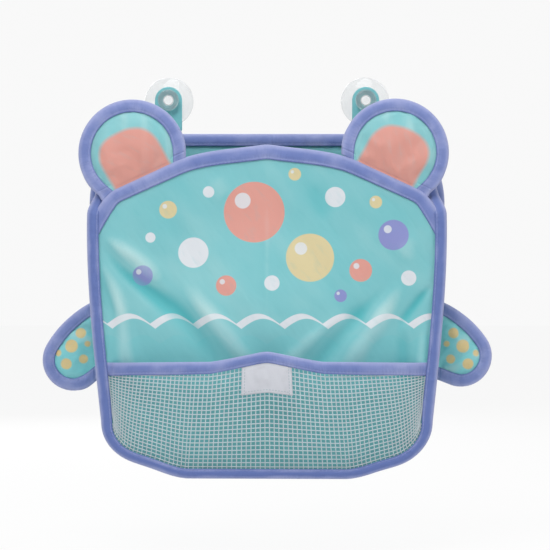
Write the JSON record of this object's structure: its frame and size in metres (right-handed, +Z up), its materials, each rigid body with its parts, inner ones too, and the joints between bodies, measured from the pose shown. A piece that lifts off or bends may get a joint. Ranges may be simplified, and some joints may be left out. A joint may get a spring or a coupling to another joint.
{
  "type": "bath toy organizer",
  "caption": "Wall-hung fabric bag for bath toys with an arched open mouth, a net front pocket, round padded ears, padded arms and suction cups on webbing tabs.",
  "frame": {"origin": "on the wall plane, midway between the two suction cup axes", "axes": "+X to the right as seen from the room, +Y into the wall, +Z up"},
  "size_m": [0.3644, 0.1017, 0.327],
  "materials": {
    "aqua_satin": "satin polyester",
    "binding_tape": "folded bias tape",
    "net": "open polyester net",
    "label": "plain woven label",
    "foam": "soft open-cell foam",
    "webbing": "woven webbing",
    "clear_vinyl": "clear soft vinyl"
  },
  "bodies": {
    "bag": {"back_panel": "aqua_satin", "back_binding": "binding_tape", "left_gusset": "aqua_satin", "right_gusset": "aqua_satin", "drain_gusset": "net", "front_panel": "aqua_satin", "front_binding": "binding_tape", "mouth_binding": "binding_tape", "mesh_pocket": "net", "pocket_binding": "binding_tape", "care_label": "label"},
    "left_ear": {"left_ear_front": "aqua_satin", "left_ear_foam": "foam", "left_ear_back": "aqua_satin", "left_ear_binding": "binding_tape"},
    "left_arm": {"left_arm_front": "aqua_satin", "left_arm_foam": "foam", "left_arm_back": "aqua_satin", "left_arm_binding": "binding_tape"},
    "left_cup_tab": {"left_cup_tab": "webbing"},
    "left_suction_cup": {"left_suction_cup": "clear_vinyl"},
    "right_ear": {"right_ear_front": "aqua_satin", "right_ear_foam": "foam", "right_ear_back": "aqua_satin", "right_ear_binding": "binding_tape"},
    "right_arm": {"right_arm_front": "aqua_satin", "right_arm_foam": "foam", "right_arm_back": "aqua_satin", "right_arm_binding": "binding_tape"},
    "right_cup_tab": {"right_cup_tab": "webbing"},
    "right_suction_cup": {"right_suction_cup": "clear_vinyl"}
  },
  "joints": [
    {"name": "left_ear_fold", "type": "hinge", "parent": "bag", "child": "left_ear", "pos_m": [-0.09849, -0.0609, -0.06265], "axis": [0.9069, 0, 0.4213], "range_deg": [-20, 90], "stiffness_Nm_per_rad": 0.05},
    {"name": "left_arm_fold", "type": "hinge", "parent": "bag", "child": "left_arm", "pos_m": [-0.13825, -0.01365, -0.2], "axis": [-0.0602, 0, 0.9982], "range_deg": [-10, 90], "stiffness_Nm_per_rad": 0.05},
    {"name": "left_tab_fold", "type": "hinge", "parent": "bag", "child": "left_cup_tab", "pos_m": [-0.08, -0.0131, -0.026], "axis": [1, 0, 0], "range_deg": [-90, 30]},
    {"name": "left_cup_swivel", "type": "hinge", "parent": "left_cup_tab", "child": "left_suction_cup", "pos_m": [-0.08, 0, 0], "axis": [0, 1, 0], "continuous": true},
    {"name": "right_ear_fold", "type": "hinge", "parent": "bag", "child": "right_ear", "pos_m": [0.09396, -0.0609, -0.06054], "axis": [0.9069, 0, -0.4213], "range_deg": [-20, 90], "stiffness_Nm_per_rad": 0.05},
    {"name": "right_arm_fold", "type": "hinge", "parent": "bag", "child": "right_arm", "pos_m": [0.13825, -0.01365, -0.2], "axis": [-0.0602, 0, -0.9982], "range_deg": [-10, 90], "stiffness_Nm_per_rad": 0.05},
    {"name": "right_tab_fold", "type": "hinge", "parent": "bag", "child": "right_cup_tab", "pos_m": [0.08, -0.0131, -0.026], "axis": [1, 0, 0], "range_deg": [-90, 30]},
    {"name": "right_cup_swivel", "type": "hinge", "parent": "right_cup_tab", "child": "right_suction_cup", "pos_m": [0.08, 0, 0], "axis": [0, 1, 0], "continuous": true}
  ]
}
